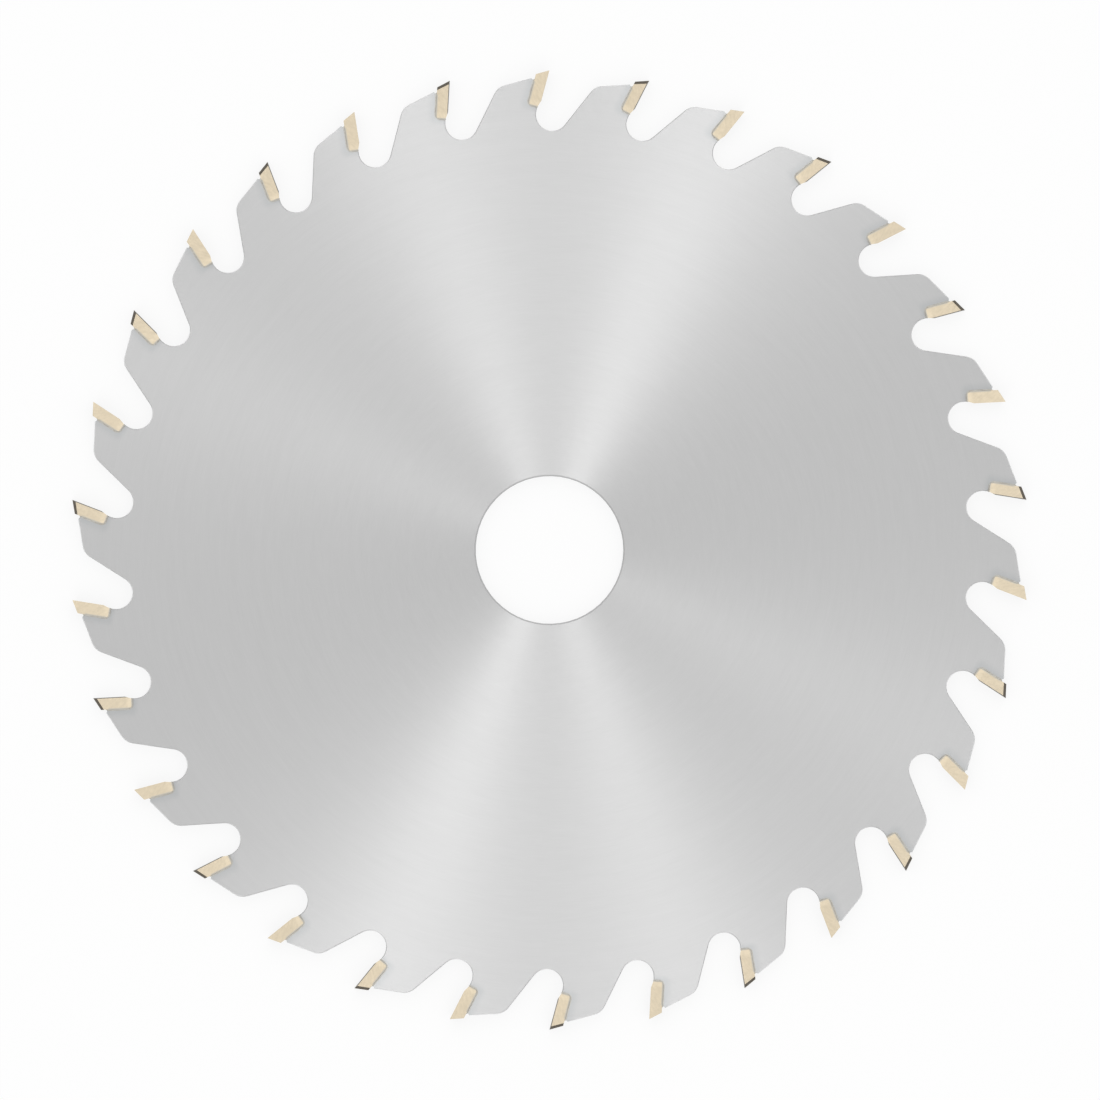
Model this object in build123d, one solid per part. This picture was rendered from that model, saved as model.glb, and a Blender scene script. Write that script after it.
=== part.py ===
from build123d import *

import os
from math import cos, radians, sin, sqrt, tan

# Circular saw blade: a flat steel plate with a ground carbide tip brazed into each of its teeth.
# It lies flat: +Z is its axis, the origin is the middle of the bore halfway through the plate, and
# the point of tooth 1 is on +Y. Seen from +Z the teeth point clockwise, the way the blade turns.
# Lengths are in millimetres and angles in degrees.

# Blade
BLADE_DIAMETER = 130.0  # over the cutting points
BORE_DIAMETER = 20.0
TOOTH_COUNT = 30
PLATE_THICKNESS = 1.6
KERF = 2.4  # width of a tip at its cutting point, and so of the cut
BORE_CHAMFER = 0.2
EDGE_BREAK = 0.1  # chamfer round the toothed edge, on both faces

# Angles at the cutting point
HOOK = 15.0  # lean of the rake face ahead of the radius
TOP_CLEARANCE = 15.0  # fall of the tooth's top behind the cutting point
TOP_BEVEL = 9.0  # across the tip's top, towards one side and the other in turn
FACE_BEVEL = 3.0  # across the rake face, in turn as well
RADIAL_RELIEF = 1.5  # of each side face, narrowing the tip towards the bore
TANGENT_RELIEF = 3.0  # of each side face, narrowing the tip behind its rake face

# Tooth form in the plate
BACK_ANGLE = 26.3  # slope of the tooth's back from the radius
HEEL_RADIUS = 2.2
GULLET_RADIUS = 2.2
GULLET_DEPTH = 8.2  # from the cutting points to the gullet's floor
FRONT_SETBACK = 0.3  # of the plate's tooth front behind the rake face
LAND_STEP = 0.38  # of the plate's tooth top below the tip's top
LAND_CORNER = 0.3  # length cut off the land, and off the seat below it, where the two meet

# Carbide tip
TIP_LENGTH = 5.2  # along the rake face
TIP_THICKNESS = 1.65
TIP_CORNER = 0.55  # radius of the corner that lies deep in the seat
TIP_CHAMFER = 0.95  # length of the chamfer below the rake face, which runs back to the plate's front

# Silver solder
SOLDER_GAP = 0.2  # between a tip and its seat
BEAD_HEIGHT = 0.15  # up the tip's wall from the plate's face

# How far blanks and cutting shapes reach beyond the finished faces
SPARE = 1.0

# Values that follow from the sizes
POINT_RADIUS = BLADE_DIAMETER / 2
PITCH = 360 / TOOTH_COUNT
HALF_PLATE = PLATE_THICKNESS / 2
HALF_KERF = KERF / 2
TOP_LEAN = radians(HOOK + TOP_CLEARANCE)  # of a tooth's top from square across its tip

# Tooth 1: its cutting point, and the ways out along its rake face, ahead of it, off its top and back
POINT = Vector(0, POINT_RADIUS)
OUT = Vector(sin(radians(HOOK)), cos(radians(HOOK)))
AHEAD = Vector(cos(radians(HOOK)), -sin(radians(HOOK)))
ABOVE_TOP = Vector(-sin(radians(TOP_CLEARANCE)), cos(radians(TOP_CLEARANCE)))
BACK_ALONG_TOP = ABOVE_TOP.rotate(Axis.Z, 90)
AXIAL = Vector(0, 0, 1)


def at(down, ahead):
    """The place this far down the rake face from the cutting point, and this far ahead of the face."""
    return POINT - OUT * down + AHEAD * ahead


def turned(place, degrees):
    """A place turned about the blade's axis, counter-clockwise seen from +Z."""
    return place.rotate(Axis.Z, degrees)


def land_down(ahead):
    """How far down the rake face the land's line lies, this far ahead of the face."""
    return (LAND_STEP - ahead * sin(TOP_LEAN)) / cos(TOP_LEAN)


def land_at(ahead):
    """The place on the land's line this far ahead of the rake face."""
    return at(land_down(ahead), ahead)


def crossing(start, way, other_start, other_way):
    """Where two straight lines in the plane of the plate cross."""
    share = (other_start - start).cross(other_way).Z / way.cross(other_way).Z
    return start + way * share


# Plate

# How far down the rake face the gullet's centre lies, so that its floor has the wanted depth
GULLET_AHEAD = GULLET_RADIUS - FRONT_SETBACK
CENTRE_BESIDE = GULLET_AHEAD - POINT_RADIUS * sin(radians(HOOK))
CENTRE_RADIUS = POINT_RADIUS - GULLET_DEPTH + GULLET_RADIUS
GULLET_DOWN = POINT_RADIUS * cos(radians(HOOK)) - sqrt(CENTRE_RADIUS**2 - CENTRE_BESIDE**2)


def heel():
    """The sharp corner of tooth 1's land and back, which touches the gullet behind the tooth."""
    way_up_back = Vector(sin(radians(BACK_ANGLE)), cos(radians(BACK_ANGLE)))
    gullet_behind = turned(at(GULLET_DOWN, GULLET_AHEAD), PITCH)
    touch = gullet_behind + way_up_back.rotate(Axis.Z, -90) * GULLET_RADIUS
    return crossing(land_at(0), BACK_ALONG_TOP, touch, way_up_back)


def pitch_outline():
    """The edge from tooth 1's front corner round the gullet to the next tooth's, before the seats."""
    front_corner = land_at(-FRONT_SETBACK)
    next_corner = turned(front_corner, -PITCH)
    next_heel = turned(heel(), -PITCH)
    front = Line(front_corner, at(GULLET_DOWN, -FRONT_SETBACK))
    gullet_turn = 180 + HOOK - BACK_ANGLE - PITCH
    gullet = CenterArc(at(GULLET_DOWN, GULLET_AHEAD), GULLET_RADIUS, 180 - HOOK, gullet_turn)
    back_and_land = FilletPolyline(gullet @ 1, next_heel, next_corner, radius=HEEL_RADIUS)
    return [front, gullet, *back_and_land.edges()]


def seam(offset, start, past_front=0.0):
    """The L-shaped line this far behind the tip's back and bottom, round its deep corner.

    It starts on the back, this far down, and runs along the bottom to this far past the tooth's front.
    """
    back = -TIP_THICKNESS - offset
    bottom = TIP_LENGTH + offset
    front_end = at(bottom, past_front - FRONT_SETBACK)
    return FilletPolyline(at(start, back), at(bottom, back), front_end, radius=TIP_CORNER + offset)


# How far down the rake face the solder starts: at the lower end of the land's cut-off corner
SOLDER_TOP = land_down(-TIP_THICKNESS - SOLDER_GAP) + LAND_CORNER


def seat():
    """What is cut out of the plate at tooth 1: the room for the tip and the solder, and the corner."""
    line = seam(SOLDER_GAP, SOLDER_TOP, SPARE)
    beyond_point = at(-SPARE, SPARE)
    above_corner = line @ 0 + (OUT + BACK_ALONG_TOP) * (LAND_CORNER + SPARE)
    around_tip = Polyline(line @ 1, beyond_point, above_corner, line @ 0)
    profile = make_face([*line.edges(), *around_tip.edges()])
    return extrude(profile, HALF_PLATE + SPARE, both=True)


def blade_plate():
    """The steel plate: its toothed outline with broken edges, the bore, and a seat in each tooth."""
    around = [Rot(Z=-PITCH * number) for number in range(TOOTH_COUNT)]
    teeth_outline = make_face([turn * edge for turn in around for edge in pitch_outline()])
    plate = extrude(teeth_outline - Circle(BORE_DIAMETER / 2), HALF_PLATE, both=True)
    flats = plate.faces().filter_by(Plane.XY)
    plate = chamfer([edge for flat in flats for edge in flat.outer_wire().edges()], EDGE_BREAK)
    bore_rims = plate.edges().filter_by(GeomType.CIRCLE).sort_by_distance(Vector(0, 0, 0))[:2]
    plate = chamfer(bore_rims, BORE_CHAMFER)
    return plate - [turn * seat() for turn in around]


# Carbide tips

def ground(blank, place, outward):
    """The blank with one flat ground on it, through this place and facing outward."""
    return split(blank, bisect_by=Plane(origin=place, z_dir=outward), keep=Keep.BOTTOM)


def carbide_tip():
    """The tip of tooth 1, whose point is on the +Z side: a blank with four faces ground on it."""
    chamfer_start = at(TIP_LENGTH - TIP_CHAMFER, 0)
    chamfer_end = at(TIP_LENGTH, -FRONT_SETBACK)
    beyond_face = chamfer_start + (chamfer_start - chamfer_end)
    beyond_point = at(-SPARE, SPARE)
    line = seam(0, -SPARE)
    edges = [*line.edges(), *Polyline(line @ 1, beyond_face, beyond_point, line @ 0).edges()]
    tip = extrude(make_face(edges), HALF_KERF + SPARE, both=True)

    point = POINT + AXIAL * HALF_KERF
    far_side = POINT - AXIAL * HALF_KERF
    relief = OUT * tan(radians(RADIAL_RELIEF)) + AHEAD * tan(radians(TANGENT_RELIEF))
    tip = ground(tip, point, AXIAL - relief)
    tip = ground(tip, far_side, -AXIAL - relief)
    tip = ground(tip, point, ABOVE_TOP - AXIAL * tan(radians(TOP_BEVEL)))
    return ground(tip, point, AHEAD - AXIAL * tan(radians(FACE_BEVEL)))


# Silver solder

def solder_joint():
    """The solder of tooth 1: its section swept along the seam, from the land's corner to the front.

    The section fills the gap, and slopes from the tip's wall to the seat's edge at each plate face.
    """
    path = seam(0, SOLDER_TOP)
    section = Polyline(
        (0, HALF_PLATE + BEAD_HEIGHT),
        (SOLDER_GAP, HALF_PLATE),
        (SOLDER_GAP, -HALF_PLATE),
        (0, -HALF_PLATE - BEAD_HEIGHT),
        close=True,
    )
    across = Plane(origin=path @ 0, x_dir=-AHEAD, z_dir=path % 0)
    return sweep(across * make_face(section), path=path)


def round_the_blade(shape, number):
    """The shape of tooth 1 where another tooth has it. The numbers run clockwise from 1."""
    return Rot(Z=-PITCH * (number - 1)) * shape


# Files

os.makedirs("parts", exist_ok=True)
teeth = range(1, TOOTH_COUNT + 1)

export_step(blade_plate(), "parts/blade_plate.step")

point_above = carbide_tip()
point_below = mirror(point_above, about=Plane.XY)
for number in teeth:
    first_kind = number % 2 == 1
    tip = round_the_blade(point_above if first_kind else point_below, number)
    export_step(tip, f"parts/tip_{number:02d}.step")

solder = solder_joint()
joints = [round_the_blade(solder, number).solid() for number in teeth]
export_step(Compound(joints), "parts/braze_joints.step")
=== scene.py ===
from math import cos, pi, radians, sin

import bpy
import numpy as np
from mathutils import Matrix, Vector


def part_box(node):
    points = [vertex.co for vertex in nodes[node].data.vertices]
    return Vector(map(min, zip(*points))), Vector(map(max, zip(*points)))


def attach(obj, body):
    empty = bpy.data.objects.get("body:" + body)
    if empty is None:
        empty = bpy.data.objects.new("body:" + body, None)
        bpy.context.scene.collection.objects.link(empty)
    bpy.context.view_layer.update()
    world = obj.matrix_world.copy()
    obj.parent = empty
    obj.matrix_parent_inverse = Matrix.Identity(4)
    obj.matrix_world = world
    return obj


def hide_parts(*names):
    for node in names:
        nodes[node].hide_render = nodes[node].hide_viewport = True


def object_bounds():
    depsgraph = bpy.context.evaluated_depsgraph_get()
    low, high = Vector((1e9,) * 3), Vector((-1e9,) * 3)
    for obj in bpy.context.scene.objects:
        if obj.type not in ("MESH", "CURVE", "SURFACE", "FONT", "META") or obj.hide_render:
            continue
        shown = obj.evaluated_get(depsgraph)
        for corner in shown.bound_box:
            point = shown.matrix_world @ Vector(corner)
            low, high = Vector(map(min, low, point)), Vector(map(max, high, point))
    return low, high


# Circular saw blade with brazed carbide tips, lying flat, seen from straight above.
# Sizes are in millimetres and angles in degrees; Blender's own lengths are in metres.
MM = 0.001

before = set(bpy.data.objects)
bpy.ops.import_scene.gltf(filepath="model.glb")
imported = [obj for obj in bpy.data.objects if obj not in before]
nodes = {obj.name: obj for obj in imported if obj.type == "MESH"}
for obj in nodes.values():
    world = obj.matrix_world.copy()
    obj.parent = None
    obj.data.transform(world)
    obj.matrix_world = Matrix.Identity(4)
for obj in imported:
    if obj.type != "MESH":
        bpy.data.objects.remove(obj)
cad_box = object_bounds()

# Tooth form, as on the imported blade: the point of tooth 1 is on +Y, and the teeth point clockwise
TIPS = [name for name in nodes if name.startswith("tip_")]
TOOTH_COUNT = len(TIPS)
PITCH = 360 / TOOTH_COUNT
PITCH_BEHIND_POINT = 10.5  # degrees of each pitch that lie behind its tooth's point
POINT_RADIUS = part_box("tip_01")[1].y / MM
HALF_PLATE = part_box("blade_plate")[1].z / MM
HOOK = 15.0
TIP_LENGTH = 5.2
TIP_THICKNESS = 1.65
TIP_CORNER = 0.55
FRONT_SETBACK = 0.3
BORE_RADIUS = 10.0

# Solder beads
SOLDER_TOP = 1.8  # down the rake face to the upper end of the seam
SOLDER_GAP = 0.2
BEAD_HEIGHT = 0.145  # most that the solder climbs up the tip's wall from its thin edge
LEAST_HEIGHT = 0.55  # share of that height where it climbs least
HEIGHT_WAVE = 2.9  # length along the seam of the longest wave in the height
BEAD_SPREAD = 0.09  # most that it runs out over the plate
LEAST_SPREAD = 0.2  # share of that spread where it runs out least
SPREAD_WAVE = 2.3
BEAD_HOLLOW = 6  # power of the curve that falls from the tip's wall to the plate
TUCK = 0.02  # depth to which its hidden sides reach into the tip and under the plate's face
EDGE_TUCK = 0.005  # depth of its thin edge under the plate's face
TOP_CLIMB = 0.16  # how much further it reaches at the tip's wall than at the seat's, at its upper end
FRONT_CLIMB = 0.08  # the same at its front end
END_FADE = 0.16  # length along the seam over which both die away
BEAD_STEPS_ALONG = 44
BEAD_STEPS_ACROSS = 10
BEAD_SHARP_ANGLE = 35.0
BEAD_SEED = 7

# View: the bore's middle lies half a pixel left of the square photograph's own middle
FRAME_PIXELS = 1100
BORE_MIDDLE_PIXELS = (549.5, 549.97)
MM_PER_PIXEL = 0.1355
CAMERA_HEIGHT = 500.0

# Light
WORLD_LEVEL = 0.75  # strength of the white room as light
FLOOR_SIZE = 6000.0
FLOOR_GLOW = 0.85  # share of the floor that shows as plain white whatever falls on it
LAMP_DISTANCE = 2000.0
LAMP_WIDTH = 300.0
LAMP_LENGTH = 2000.0
LAMP_FROM_ZENITH = 42.0
LAMPS = (  # name, azimuth from +X towards +Y, watts of the lamp and its twin opposite together
    ("softbox_back_left", 107.9, 5.28),
    ("softbox_back_right", 68.6, 6.51),
    ("softbox_left", 154.4, 2.25),
)

# Colours, as linear values
STEEL = (0.573, 0.573, 0.573)
# lighter than the flats: partly the bright ground edge break, partly painted light that lifts the chamfers'
# shade
STEEL_EDGE_AND_PAINTED_LIGHT = (0.78, 0.78, 0.78)
STEEL_BORE = (0.56, 0.56, 0.56)
STEEL_WALL = (0.45, 0.447, 0.44)
STEEL_AT_GRAZING = (0.72, 0.72, 0.72, 1.0)  # share of the full reflection left at the lowest angles
# darker and slightly bluer plate close to the tip
NEAR_TIP_TINT = (0.90, 0.915, 0.92)
TIP_SIDE = (0.619, 0.537, 0.405)
TIP_STAINED = (0.475, 0.45, 0.395)
# painted shade: the colour that the tips' top and front faces get in place of the carbide's own
TIP_PAINTED_SHADE = (0.088, 0.079, 0.063)
CARBIDE_AT_GRAZING = (0.45, 0.42, 0.38, 1.0)
# partly the solder's own grey, partly painted shade of the seam
SOLDER_AND_SEAM_SHADE = (0.52, 0.512, 0.474)
SOLDER_SCORCHED = (0.37, 0.33, 0.285)
WHITE = (1.0, 1.0, 1.0)
FLOOR_COLOUR = (0.95, 0.95, 0.95)

# Where the materials change. Each pair is two distances, between which what is named dies away.
NEAR_TIP_REACH = (0.1, 1.4)  # the darker, slightly bluer plate close to the tip, from the tip
NEAR_TIP_SHORTER_BELOW = 1.35  # how many times shorter it reaches below the tip than behind it
STAIN_AT_BACK = (0.05, 0.25)  # the stained border, from the tip's back
STAIN_AT_BOTTOM = (0.0, 0.2)  # the same, from the tip's bottom
STAIN_COMES_IN = 0.3  # length below the seam's upper end over which the stain at the back comes in
PALE_END = (0.45, 1.0)  # the tip's paler lower end, from its bottom
BORE_FINISH = (1.0, 2.0)  # the darker steel of the bore's chamfers, from the bore's wall
SCORCH_START = 0.9  # how far behind the rake face the solder starts to be scorched

# Marks in the materials
CHAMFER_ROUGHER = 0.4  # roughness that the chamfers have beyond the flats'
BRUSHED_DEPTH = 0.0008
GROUND_DEPTH = 0.003
SOLDER_DEPTH = 0.01
STREAK_SCALE = (1.0, 1.0, 0.12)  # of the cutting streaks' noise, drawn out along the axis
GROUND_SCALE = (0.8, 0.8, 16.0)  # of the noise on a tip's top and front, fine along the axis
TEETH_APART = 3.7  # from one tooth to the next in the sides' noise, so that no two look alike


# Shader nodes

class Tree:
    """A node tree under construction: each call adds one node and returns what comes out of it."""

    def __init__(self, node_tree):
        self.nodes = node_tree.nodes
        self.links = node_tree.links

    def add(self, kind, inputs=(), **settings):
        node = self.nodes.new(kind)
        for name, value in settings.items():
            setattr(node, name, value)
        for socket, value in dict(inputs).items():
            self.feed(node.inputs[socket], value)
        return node

    def feed(self, socket, value):
        if isinstance(value, bpy.types.NodeSocket):
            self.links.new(value, socket)
        elif socket.type == "RGBA" and len(value) == 3:
            socket.default_value = (*value, 1.0)
        else:
            socket.default_value = value

    def math(self, operation, *values):
        inputs = dict(enumerate(values))
        return self.add("ShaderNodeMath", inputs, operation=operation).outputs[0]

    def vector(self, operation, *values, out="Vector"):
        inputs = dict(enumerate(values))
        return self.add("ShaderNodeVectorMath", inputs, operation=operation).outputs[out]

    def scaled(self, vector, factor):
        """A vector or colour times a number."""
        inputs = {0: vector, "Scale": factor}
        return self.add("ShaderNodeVectorMath", inputs, operation="SCALE").outputs[0]

    def mix(self, factor, first, second, blend="MIX"):
        node = self.add("ShaderNodeMix", data_type="RGBA", blend_type=blend)
        for socket, value in ((0, factor), (6, first), (7, second)):
            self.feed(node.inputs[socket], value)
        return node.outputs[2]

    def ramp(self, value, low, high, start=0.0, end=1.0):
        """Goes smoothly from start to end while the value goes from low to high, and stays there."""
        span = {"Value": value, "From Min": low, "From Max": high, "To Min": start, "To Max": end}
        return self.add("ShaderNodeMapRange", span, interpolation_type="SMOOTHSTEP").outputs[0]

    def noise(self, place, scale=1.0, detail=2.0, roughness=0.5):
        inputs = {"Vector": place, "Scale": scale, "Detail": detail, "Roughness": roughness}
        return self.add("ShaderNodeTexNoise", inputs).outputs["Fac"]

    def place(self):
        """The place on the object in millimetres."""
        return self.scaled(self.add("ShaderNodeTexCoord").outputs["Object"], 1 / MM)

    def off_axis(self):
        """The way from the blade's axis to the place, in millimetres."""
        return self.vector("MULTIPLY", self.place(), (1.0, 1.0, 0.0))

    def facing_up(self):
        """How far the face looks along the axis, either way: 1 on flats, 0.7 on chamfers, 0 on walls."""
        normal = self.add("ShaderNodeTexCoord").outputs["Normal"]
        up = self.add("ShaderNodeSeparateXYZ", {0: normal}).outputs["Z"]
        return self.math("ABSOLUTE", up)


def group(name, inputs, outputs, fill):
    """A node group with these number sockets; fill(tree, incoming) gives what goes out."""
    made = bpy.data.node_groups.new(name, "ShaderNodeTree")
    for socket in inputs:
        made.interface.new_socket(socket, in_out="INPUT", socket_type="NodeSocketFloat")
    for socket in outputs:
        made.interface.new_socket(socket, in_out="OUTPUT", socket_type="NodeSocketFloat")
    tree = Tree(made)
    incoming = tree.add("NodeGroupInput").outputs
    leaving = tree.add("NodeGroupOutput")
    for socket, value in fill(tree, incoming).items():
        tree.feed(leaving.inputs[socket], value)
    return made


def use(tree, made, **inputs):
    """Places a node group in a material or another group and returns its outputs."""
    node = tree.add("ShaderNodeGroup", node_tree=made)
    for socket, value in inputs.items():
        tree.feed(node.inputs[socket], value)
    return node.outputs


def tooth_place(tree, incoming):
    """Where a point lies on its own tooth, in millimetres.

    The angle about the axis is folded to one pitch, so that every tooth's point comes to the top. Down
    runs from that point along the rake face, and ahead runs square to it, the way the blade turns.
    Number is a different whole number on each tooth.
    """
    flat = tree.off_axis()
    apart = tree.add("ShaderNodeSeparateXYZ", {0: flat}).outputs
    radius = tree.vector("LENGTH", flat, out="Value")
    clockwise = tree.math("ARCTAN2", apart["X"], apart["Y"])
    behind = -radians(PITCH_BEHIND_POINT)
    folded = tree.math("WRAP", clockwise, behind + radians(PITCH), behind)
    across = tree.math("MULTIPLY", radius, tree.math("SINE", folded))
    up = tree.math("MULTIPLY_ADD", radius, tree.math("COSINE", folded), -POINT_RADIUS)
    hook = radians(HOOK)
    down = tree.math("MULTIPLY_ADD", across, -sin(hook), tree.math("MULTIPLY", up, -cos(hook)))
    ahead = tree.math("MULTIPLY_ADD", across, cos(hook), tree.math("MULTIPLY", up, -sin(hook)))
    turns = tree.math("DIVIDE", tree.math("SUBTRACT", clockwise, folded), radians(PITCH))
    number = tree.math("WRAP", tree.math("ROUND", turns), TOOTH_COUNT, 0.0)
    return {"Down": down, "Ahead": ahead, "Number": number}


def grind_marks(tree, incoming):
    """Fine marks that run round the axis: noise that changes fast with the radius, slowly round it."""
    flat = tree.off_axis()
    radius = tree.vector("LENGTH", flat, out="Value")
    way = tree.vector("NORMALIZE", flat)
    apart = tree.add("ShaderNodeSeparateXYZ", {0: way}).outputs
    sides = [tree.math("MULTIPLY", apart[axis], incoming["Breaks"]) for axis in "XY"]
    rings = tree.math("MULTIPLY", radius, incoming["Rings"])
    stretched = tree.add("ShaderNodeCombineXYZ", {0: rings, 1: sides[0], 2: sides[1]}).outputs[0]
    return {"Mark": tree.noise(stretched, detail=3.0, roughness=0.6)}


def lapped(tree, incoming):
    """Fine lines ground across a tip, which lean by an angle from its length and differ on each tooth."""
    tooth = use(tree, TOOTH_PLACE)
    lean = tree.math("RADIANS", incoming["Lean"])
    sine = tree.math("SINE", lean)
    cosine = tree.math("COSINE", lean)
    along = tree.math("MULTIPLY_ADD", tooth["Down"], cosine, tree.math("MULTIPLY", tooth["Ahead"], sine))
    ahead_share = tree.math("MULTIPLY", tooth["Ahead"], cosine)
    beside = tree.math("SUBTRACT", ahead_share, tree.math("MULTIPLY", tooth["Down"], sine))
    stretched = tree.add("ShaderNodeCombineXYZ", {
        0: tree.math("MULTIPLY", along, incoming["Along"]),
        1: tree.math("MULTIPLY", beside, incoming["Beside"]),
        2: tree.math("MULTIPLY", tooth["Number"], TEETH_APART),
    }).outputs[0]
    return {"Mark": tree.noise(stretched, detail=2.0, roughness=0.55)}


def through_cut(tree, incoming):
    """Streaks that run through the plate's thickness, as a laser leaves them on a cut wall."""
    drawn_out = tree.vector("MULTIPLY", tree.place(), STREAK_SCALE)
    return {"Streak": tree.noise(drawn_out, scale=incoming["Fine"], detail=2.0, roughness=0.6)}


def mottle(tree, incoming):
    """Uneven grain without direction, three parts of it fine and two coarse."""
    place = tree.place()
    fine = tree.noise(place, scale=incoming["Fine"], detail=2.0, roughness=0.6)
    coarse = tree.noise(place, scale=incoming["Coarse"], detail=1.0, roughness=0.5)
    return {"Grain": tree.math("MULTIPLY_ADD", fine, 0.6, tree.math("MULTIPLY", coarse, 0.4))}


TOOTH_PLACE = group("tooth_place", (), ("Down", "Ahead", "Number"), tooth_place)
GRIND_MARKS = group("grind_marks", ("Rings", "Breaks"), ("Mark",), grind_marks)
LAPPED = group("lapped", ("Lean", "Along", "Beside"), ("Mark",), lapped)
THROUGH_CUT = group("through_cut", ("Fine",), ("Streak",), through_cut)
MOTTLE = group("mottle", ("Fine", "Coarse"), ("Grain",), mottle)


def about_one(tree, value, swing):
    """Turns noise about a half into a factor about one, with this much swing in all."""
    return tree.math("MULTIPLY_ADD", value, swing, 1.0 - swing / 2)


def bump(tree, height, depth):
    """A normal from a height between 0 and 1 that stands for this many millimetres."""
    inputs = {"Height": height, "Distance": depth * MM, "Strength": 1.0}
    return tree.add("ShaderNodeBump", inputs).outputs[0]


def material(name, finish):
    """A material whose Principled shader is fed by finish(tree), which returns its sockets' values."""
    made = bpy.data.materials.new(name)
    made.use_nodes = True
    made.node_tree.nodes.clear()
    tree = Tree(made.node_tree)
    shader = tree.add("ShaderNodeBsdfPrincipled", finish(tree))
    tree.add("ShaderNodeOutputMaterial", {"Surface": shader.outputs[0]})
    return made


# Materials

def plate_steel(tree):
    """Circular brushed steel: dark and bright sectors come from the stretched highlight alone."""
    flat = tree.off_axis()
    radius = tree.vector("LENGTH", flat, out="Value")
    fine = use(tree, GRIND_MARKS, Rings=13.0, Breaks=12.0)["Mark"]
    broad = use(tree, GRIND_MARKS, Rings=1.2, Breaks=5.0)["Mark"]
    streak = use(tree, THROUGH_CUT, Fine=8.0)["Streak"]
    tooth = use(tree, TOOTH_PLACE)
    flatness = tree.facing_up()
    on_wall = tree.ramp(flatness, low=0.3, high=0.6, start=1.0, end=0.0)
    on_flat = tree.ramp(flatness, low=0.75, high=0.95)

    behind = tree.math("MAXIMUM", tree.math("SUBTRACT", -TIP_THICKNESS, tooth["Ahead"]), 0.0)
    below = tree.math("MAXIMUM", tree.math("SUBTRACT", tooth["Down"], TIP_LENGTH), 0.0)
    longer_below = tree.math("MULTIPLY", below, NEAR_TIP_SHORTER_BELOW)
    squares = tree.math("MULTIPLY", longer_below, longer_below)
    from_tip = tree.math("SQRT", tree.math("MULTIPLY_ADD", behind, behind, squares))
    near_tip = tree.ramp(from_tip, *NEAR_TIP_REACH, start=1.0, end=0.0)

    near_bore, past_bore = (BORE_RADIUS + reach for reach in BORE_FINISH)
    # The chamfers: plain steel by the bore, and further out a lighter steel that is partly painted light
    chamfer = tree.mix(tree.ramp(radius, near_bore, past_bore), STEEL_BORE, STEEL_EDGE_AND_PAINTED_LIGHT)
    wall = tree.scaled(STEEL_WALL, about_one(tree, streak, swing=0.5))
    colour = tree.mix(on_wall, tree.mix(on_flat, chamfer, STEEL), wall)
    colour = tree.mix(near_tip, colour, NEAR_TIP_TINT, "MULTIPLY")
    fine_marks = about_one(tree, fine, swing=0.11)
    marks = tree.math("MULTIPLY", fine_marks, about_one(tree, broad, swing=0.05))
    height = tree.mix(on_wall, fine, streak)
    brushed = tree.ramp(fine, low=0.2, high=0.8, start=0.42, end=0.46)
    on_chamfer = tree.math("SUBTRACT", 1.0, tree.math("MAXIMUM", on_wall, on_flat))
    return {
        "Base Color": tree.scaled(colour, marks),
        "Metallic": 1.0,
        "Roughness": tree.math("MULTIPLY_ADD", on_chamfer, CHAMFER_ROUGHER, brushed),
        "Specular Tint": STEEL_AT_GRAZING,
        "Anisotropic": 0.9,
        "Tangent": tree.vector("NORMALIZE", flat),
        "Normal": bump(tree, height, BRUSHED_DEPTH),
    }


def carbide(tree):
    """Sintered carbide: pale straw sides with slanting marks, and finely ground top and front, painted dark
    as shade.
    """
    grain = use(tree, MOTTLE, Fine=6.0, Coarse=1.4)["Grain"]
    slanting = use(tree, LAPPED, Lean=38.0, Along=1.3, Beside=3.4)["Mark"]
    tooth = use(tree, TOOTH_PLACE)
    # 1 on the side faces, which show the carbide's own colour; the top and front faces get painted shade
    side = tree.ramp(tree.facing_up(), low=0.6, high=0.9)
    ground_place = tree.vector("MULTIPLY", tree.place(), GROUND_SCALE)
    ground_lines = tree.noise(ground_place, detail=2.0, roughness=0.5)
    chance = tree.add("ShaderNodeTexWhiteNoise", noise_dimensions="1D")
    tree.feed(chance.inputs["W"], tooth["Number"])

    from_back = tree.math("ADD", tooth["Ahead"], TIP_THICKNESS)
    from_bottom = tree.math("SUBTRACT", TIP_LENGTH, tooth["Down"])
    paler = tree.ramp(from_bottom, *PALE_END, start=1.08, end=1.0)
    stained_back = tree.ramp(from_back, *STAIN_AT_BACK, start=1.0, end=0.0)
    stained_bottom = tree.ramp(from_bottom, *STAIN_AT_BOTTOM, start=1.0, end=0.0)
    beside_seam = tree.ramp(tooth["Down"], SOLDER_TOP, SOLDER_TOP + STAIN_COMES_IN)
    stained = tree.math("MAXIMUM", tree.math("MULTIPLY", stained_back, beside_seam), stained_bottom)

    marks = tree.math("MULTIPLY", about_one(tree, grain, swing=0.2), about_one(tree, slanting, swing=0.26))
    marks = tree.math("MULTIPLY", marks, about_one(tree, chance.outputs["Value"], swing=0.05))
    pale = tree.scaled(TIP_SIDE, tree.math("MULTIPLY", marks, paler))
    pale = tree.mix(stained, pale, TIP_STAINED)
    # painted shade on the top and front faces, with the grinding lines in it
    dark = tree.scaled(TIP_PAINTED_SHADE, about_one(tree, ground_lines, swing=0.5))
    return {
        "Base Color": tree.mix(side, dark, pale),
        "Metallic": 1.0,
        "Roughness": tree.ramp(side, low=0.0, high=1.0, start=0.28, end=0.45),
        "Specular Tint": CARBIDE_AT_GRAZING,
        "Normal": bump(tree, tree.mix(side, ground_lines, slanting), GROUND_DEPTH),
    }


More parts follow.
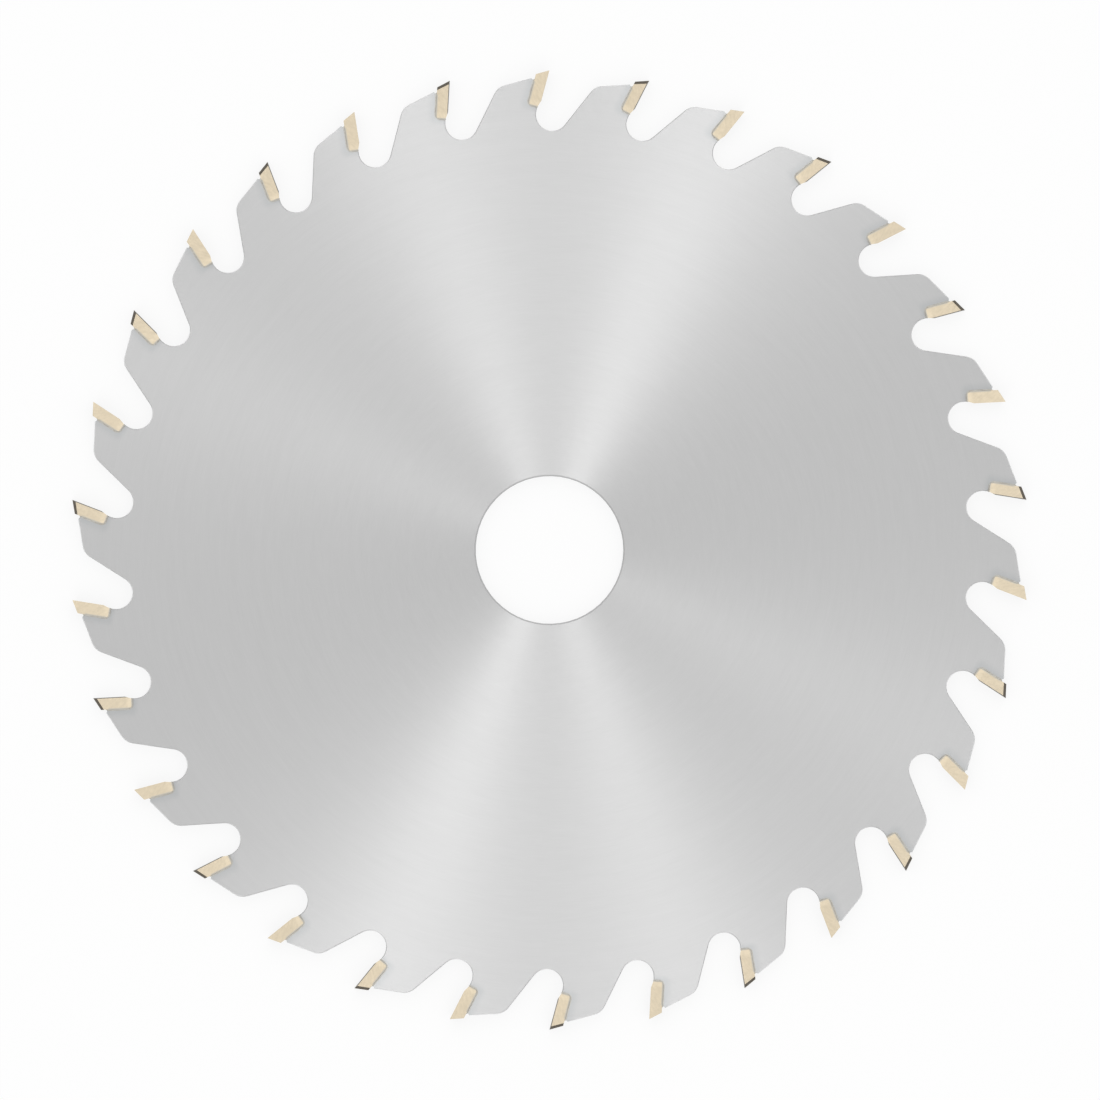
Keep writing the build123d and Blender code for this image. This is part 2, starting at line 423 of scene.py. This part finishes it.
def silver_solder(tree):
    """Silver solder, brushed over with the plate: uneven, and scorched a little towards the front. Its grey
    is partly its own and partly painted shade of the seam.
    """
    grain = use(tree, MOTTLE, Fine=5.0, Coarse=1.1)["Grain"]
    tooth = use(tree, TOOTH_PLACE)
    near_front = tree.ramp(tooth["Ahead"], -SCORCH_START, -FRONT_SETBACK, start=0.0, end=0.35)
    patches = tree.ramp(grain, low=0.42, high=0.62, start=0.0, end=0.5)
    colour = tree.mix(tree.math("MAXIMUM", near_front, patches), SOLDER_AND_SEAM_SHADE, SOLDER_SCORCHED)
    return {
        "Base Color": tree.scaled(colour, about_one(tree, grain, swing=0.4)),
        "Metallic": 1.0,
        "Roughness": tree.ramp(grain, low=0.3, high=0.7, start=0.4, end=0.5),
        "Anisotropic": 0.9,
        "Tangent": tree.vector("NORMALIZE", tree.off_axis()),
        "Normal": bump(tree, grain, SOLDER_DEPTH),
    }


STEEL_FINISH = material("plate_steel", plate_steel)
CARBIDE_FINISH = material("carbide", carbide)
SOLDER_FINISH = material("silver_solder", silver_solder)


def dress(name, finish):
    """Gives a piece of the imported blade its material."""
    for slot in nodes[name].material_slots:
        slot.material = finish


dress("blade_plate", STEEL_FINISH)
for tip in TIPS:
    dress(tip, CARBIDE_FINISH)


# Solder beads

def seam_line(along):
    """The seam of tooth 1 at these lengths from its upper end, as (down, ahead), with the way to the seat.

    It runs straight down the tip's back, through a quarter circle round the tip's deep corner, and
    straight along the tip's bottom to the tooth's front.
    """
    back_end = TIP_LENGTH - TIP_CORNER - SOLDER_TOP
    turn = np.clip((along - back_end) / TIP_CORNER, 0.0, pi / 2)
    on_back = np.minimum(along, back_end)
    on_bottom = np.maximum(along - back_end - TIP_CORNER * pi / 2, 0.0)
    down = SOLDER_TOP + on_back + TIP_CORNER * np.sin(turn)
    ahead = -TIP_THICKNESS + TIP_CORNER * (1 - np.cos(turn)) + on_bottom
    return down, ahead, np.sin(turn), -np.cos(turn)


def waves(random, along, longest):
    """A smooth uneven line between 0 and 1 for each tooth: three sines of halving length and weight."""
    weights = (1.0, 0.5, 0.25)
    total = np.zeros((TOOTH_COUNT, along.size))
    for step, weight in enumerate(weights):
        phase = random.uniform(0.0, 2 * pi, (TOOTH_COUNT, 1))
        total += weight * np.sin(2 * pi * along[None, :] * 2**step / longest + phase)
    return 0.5 + total / (2 * sum(weights))


def uneven(random, along, longest, most, least_share):
    """A size along the seam of each tooth, which waves between most times least_share and most."""
    return (most * (least_share + (1 - least_share) * waves(random, along, longest)))[:, :, None]


def solder_beads():
    """The solder of all teeth: a section carried along each tooth's seam, closed at both ends.

    The section's upper and lower edges are hollow curves, height times (1 - share) to the power of
    BEAD_HOLLOW, from the tip's wall to a thin edge on the plate. The shares are squares of even
    steps, so that they lie closest at the wall, where the curve is steep. Height and spread are
    uneven lines along the seam. At both ends the solder reaches further along the tip's wall than
    along the seat's, by the square of the share of the gap that is left, and this dies away
    exponentially along the seam.
    """
    random = np.random.default_rng(BEAD_SEED)
    length = TIP_LENGTH - SOLDER_TOP - TIP_CORNER + TIP_CORNER * pi / 2
    length += TIP_THICKNESS - TIP_CORNER - FRONT_SETBACK
    along = np.linspace(0.0, length, BEAD_STEPS_ALONG)
    height = uneven(random, along, HEIGHT_WAVE, BEAD_HEIGHT, LEAST_HEIGHT)
    spread = uneven(random, along, SPREAD_WAVE, BEAD_SPREAD, LEAST_SPREAD)

    share = np.linspace(0.0, 1.0, BEAD_STEPS_ACROSS)**2
    hollow = (1 - share)**BEAD_HOLLOW
    upper_across = -TUCK + (SOLDER_GAP + TUCK + spread) * share
    upper_z = HALF_PLATE - EDGE_TUCK + height * hollow
    inner_across = np.full(height.shape, SOLDER_GAP)
    inner_z = np.full(height.shape, HALF_PLATE - TUCK)
    across = np.concatenate([upper_across, inner_across, inner_across, upper_across[:, :, ::-1]], axis=2)
    z = np.concatenate([upper_z, inner_z, -inner_z, -upper_z[:, :, ::-1]], axis=2)

    at_wall = np.clip(1 - across / SOLDER_GAP, 0.0, 1.0)**2
    at_top = np.exp(-along / END_FADE)[None, :, None]
    at_front = np.exp((along - length) / END_FADE)[None, :, None]
    down, ahead, to_seat_down, to_seat_ahead = (line[None, :, None] for line in seam_line(along))
    down = down + across * to_seat_down - TOP_CLIMB * at_wall * at_top
    ahead = ahead + across * to_seat_ahead + FRONT_CLIMB * at_wall * at_front

    hook = radians(HOOK)
    x = -down * sin(hook) + ahead * cos(hook)
    y = POINT_RADIUS - down * cos(hook) - ahead * sin(hook)
    turn = -np.radians(PITCH) * np.arange(TOOTH_COUNT)[:, None, None]
    places = np.stack([x * np.cos(turn) - y * np.sin(turn), x * np.sin(turn) + y * np.cos(turn), z], axis=3)

    teeth, rings, around = x.shape
    index = np.arange(teeth * rings * around).reshape(teeth, rings, around)
    following = np.roll(index, -1, axis=2)
    sides = np.stack([index[:, :-1], following[:, :-1], following[:, 1:], index[:, 1:]], axis=3)
    ends = [*index[:, 0, ::-1].tolist(), *index[:, -1].tolist()]
    mesh = bpy.data.meshes.new("solder_beads")
    mesh.from_pydata(places.reshape(-1, 3) * MM, [], [*sides.reshape(-1, 4).tolist(), *ends])
    mesh.shade_smooth()
    mesh.set_sharp_from_angle(angle=radians(BEAD_SHARP_ANGLE))
    mesh.materials.append(SOLDER_FINISH)
    made = bpy.data.objects.new("solder_beads", mesh)
    bpy.context.collection.objects.link(made)
    return made


beads = solder_beads()
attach(beads, "root")
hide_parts("braze_joints")


# Floor, light and camera

def seen_directly(tree):
    """1 for what the camera, a reflection or a clear material shows, 0 for the light that falls."""
    path = tree.add("ShaderNodeLightPath").outputs
    shown = tree.math("MAXIMUM", path["Is Camera Ray"], path["Is Glossy Ray"])
    return tree.math("MAXIMUM", shown, path["Is Transmission Ray"])


def white_floor():
    """A wide white floor at the blade's lowest points."""
    low = cad_box[0].z
    half = FLOOR_SIZE * MM / 2
    corners = [(-half, -half, low), (half, -half, low), (half, half, low), (-half, half, low)]
    mesh = bpy.data.meshes.new("floor")
    mesh.from_pydata(corners, [], [(0, 1, 2, 3)])
    floor = bpy.data.objects.new("floor", mesh)
    bpy.context.collection.objects.link(floor)
    made = bpy.data.materials.new("floor_white")
    made.use_nodes = True
    made.node_tree.nodes.clear()
    tree = Tree(made.node_tree)
    matt = tree.add("ShaderNodeBsdfDiffuse", {"Color": FLOOR_COLOUR}).outputs[0]
    glow = tree.add("ShaderNodeEmission", {"Color": WHITE, "Strength": 1.0}).outputs[0]
    share = tree.math("MULTIPLY", seen_directly(tree), FLOOR_GLOW)
    both = tree.add("ShaderNodeMixShader", {0: share, 1: matt, 2: glow}).outputs[0]
    tree.add("ShaderNodeOutputMaterial", {"Surface": both})
    mesh.materials.append(made)


def even_world():
    """A plain white room: of strength 1 where it is seen, and of WORLD_LEVEL as light."""
    world = bpy.data.worlds.new("studio")
    bpy.context.scene.world = world
    world.use_nodes = True
    world.node_tree.nodes.clear()
    tree = Tree(world.node_tree)
    level = tree.ramp(seen_directly(tree), low=0.0, high=1.0, start=WORLD_LEVEL, end=1.0)
    light = tree.add("ShaderNodeBackground", {"Color": WHITE, "Strength": level}).outputs[0]
    tree.add("ShaderNodeOutputWorld", {"Surface": light})


def softbox(name, azimuth, power):
    """A strip lamp that shines at the bore from this azimuth, its long side leaning towards the axis."""
    lamp = bpy.data.lights.new(name, "AREA")
    lamp.shape = "RECTANGLE"
    lamp.size = LAMP_WIDTH * MM
    lamp.size_y = LAMP_LENGTH * MM
    lamp.energy = power
    lean = radians(LAMP_FROM_ZENITH)
    way = Vector((sin(lean) * cos(radians(azimuth)), sin(lean) * sin(radians(azimuth)), cos(lean)))
    stand = bpy.data.objects.new(name, lamp)
    stand.location = way * LAMP_DISTANCE * MM
    stand.rotation_euler = way.to_track_quat("Z", "Y").to_euler()
    bpy.context.collection.objects.link(stand)


def camera_above():
    """A camera that looks straight down, square to the blade, on the photograph's frame."""
    lens = bpy.data.cameras.new("camera")
    lens.type = "ORTHO"
    lens.ortho_scale = FRAME_PIXELS * MM_PER_PIXEL * MM
    camera = bpy.data.objects.new("camera", lens)
    across = (FRAME_PIXELS / 2 - BORE_MIDDLE_PIXELS[0]) * MM_PER_PIXEL
    up = (BORE_MIDDLE_PIXELS[1] - FRAME_PIXELS / 2) * MM_PER_PIXEL
    camera.location = (across * MM, up * MM, CAMERA_HEIGHT * MM)
    bpy.context.collection.objects.link(camera)
    bpy.context.scene.camera = camera


white_floor()
even_world()
for name, azimuth, power in LAMPS:
    softbox(name, azimuth, power / 2)
    softbox(f"{name}_twin", azimuth + 180, power / 2)
camera_above()
bpy.context.scene.view_settings.view_transform = "Standard"
